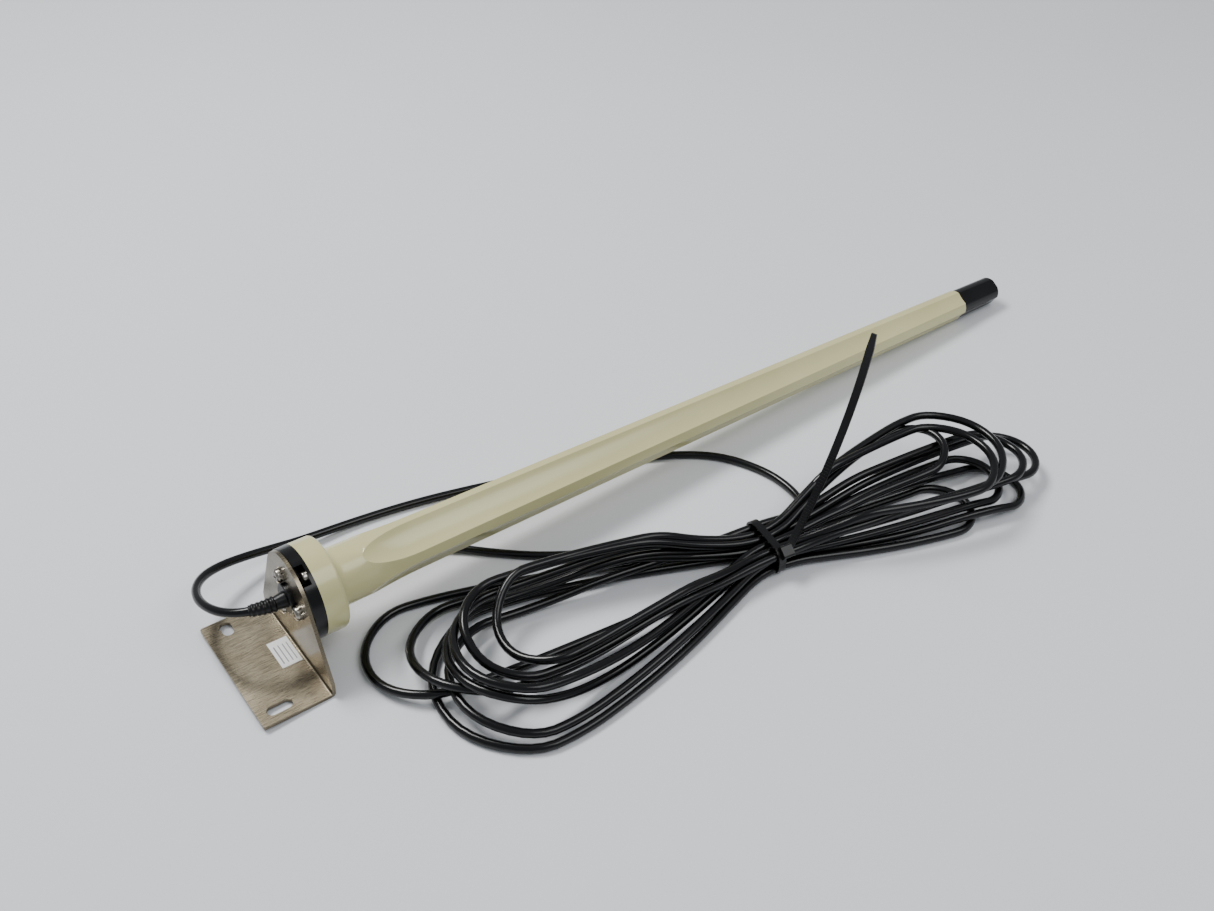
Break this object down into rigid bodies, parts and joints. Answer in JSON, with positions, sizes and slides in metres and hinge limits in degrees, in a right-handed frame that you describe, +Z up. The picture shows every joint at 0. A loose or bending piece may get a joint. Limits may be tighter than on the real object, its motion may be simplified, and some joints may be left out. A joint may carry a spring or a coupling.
{
  "type": "omnidirectional antenna",
  "caption": "Slim fluted fibre-style omnidirectional antenna on a folded steel bracket, with a captive coax cable tied in a hank and a small threaded plug.",
  "frame": {"origin": "middle of the footprint of the antenna and its bracket, on the surface it lies on", "axes": "+X along the antenna to its tip, +Z up from the surface, +Y to the side the cable leaves round"},
  "size_m": [0.6036, 0.2324, 0.1291],
  "materials": {
    "radome_cream": "satin cream grey polymer",
    "cap_black": "satin black polymer",
    "disc_black": "satin black polymer",
    "seal_rubber": "nitrile",
    "insert_brass": "plain",
    "screw_steel": "plain",
    "bracket_steel": "brushed stainless",
    "label_white": "printed polyester",
    "gland_rubber": "moulded",
    "nut_nylon": "nylon",
    "coax_pvc": "glossy PVC",
    "ferrite": "sintered",
    "board_green": "solder mask",
    "copper": "bare copper",
    "solder": "tin",
    "foam_white": "foam",
    "tie_nylon": "nylon",
    "sleeve_rubber": "heat-shrink",
    "plug_nickel": "nickel plate",
    "ptfe": "PTFE",
    "pin_gold": "gold plate"
  },
  "bodies": {
    "antenna": {"radome": "radome_cream", "end_cap": "cap_black", "base_disc": "disc_black", "base_seal": "seal_rubber", "disc_inserts": "insert_brass", "rim_screws": "screw_steel", "bracket": "bracket_steel", "bracket_screws": "screw_steel", "star_washers": "screw_steel", "rating_label": "label_white", "cable_gland": "gland_rubber", "gland_locknut": "nut_nylon", "feed_coax": "coax_pvc", "ferrite_beads": "ferrite", "radiator_board": "board_green", "radiator_traces": "copper", "feed_solder": "solder", "board_spacers": "foam_white", "tip_pad": "foam_white", "coax_lead": "coax_pvc", "coax_hank": "coax_pvc", "coax_tail": "coax_pvc", "cable_tie": "tie_nylon", "strain_sleeve": "sleeve_rubber", "crimp_ferrule": "plug_nickel", "connector_body": "plug_nickel", "dielectric_bush": "ptfe", "centre_pin": "pin_gold", "snap_ring": "insert_brass"},
    "coupling_nut": {"coupling_nut": "plug_nickel"}
  },
  "joints": [
    {"name": "coupling_nut_spin", "type": "hinge", "parent": "antenna", "child": "coupling_nut", "pos_m": [-0.23442, 0.03612, 0.0049], "axis": [-0.9979, 0.0646, 0], "continuous": true}
  ]
}
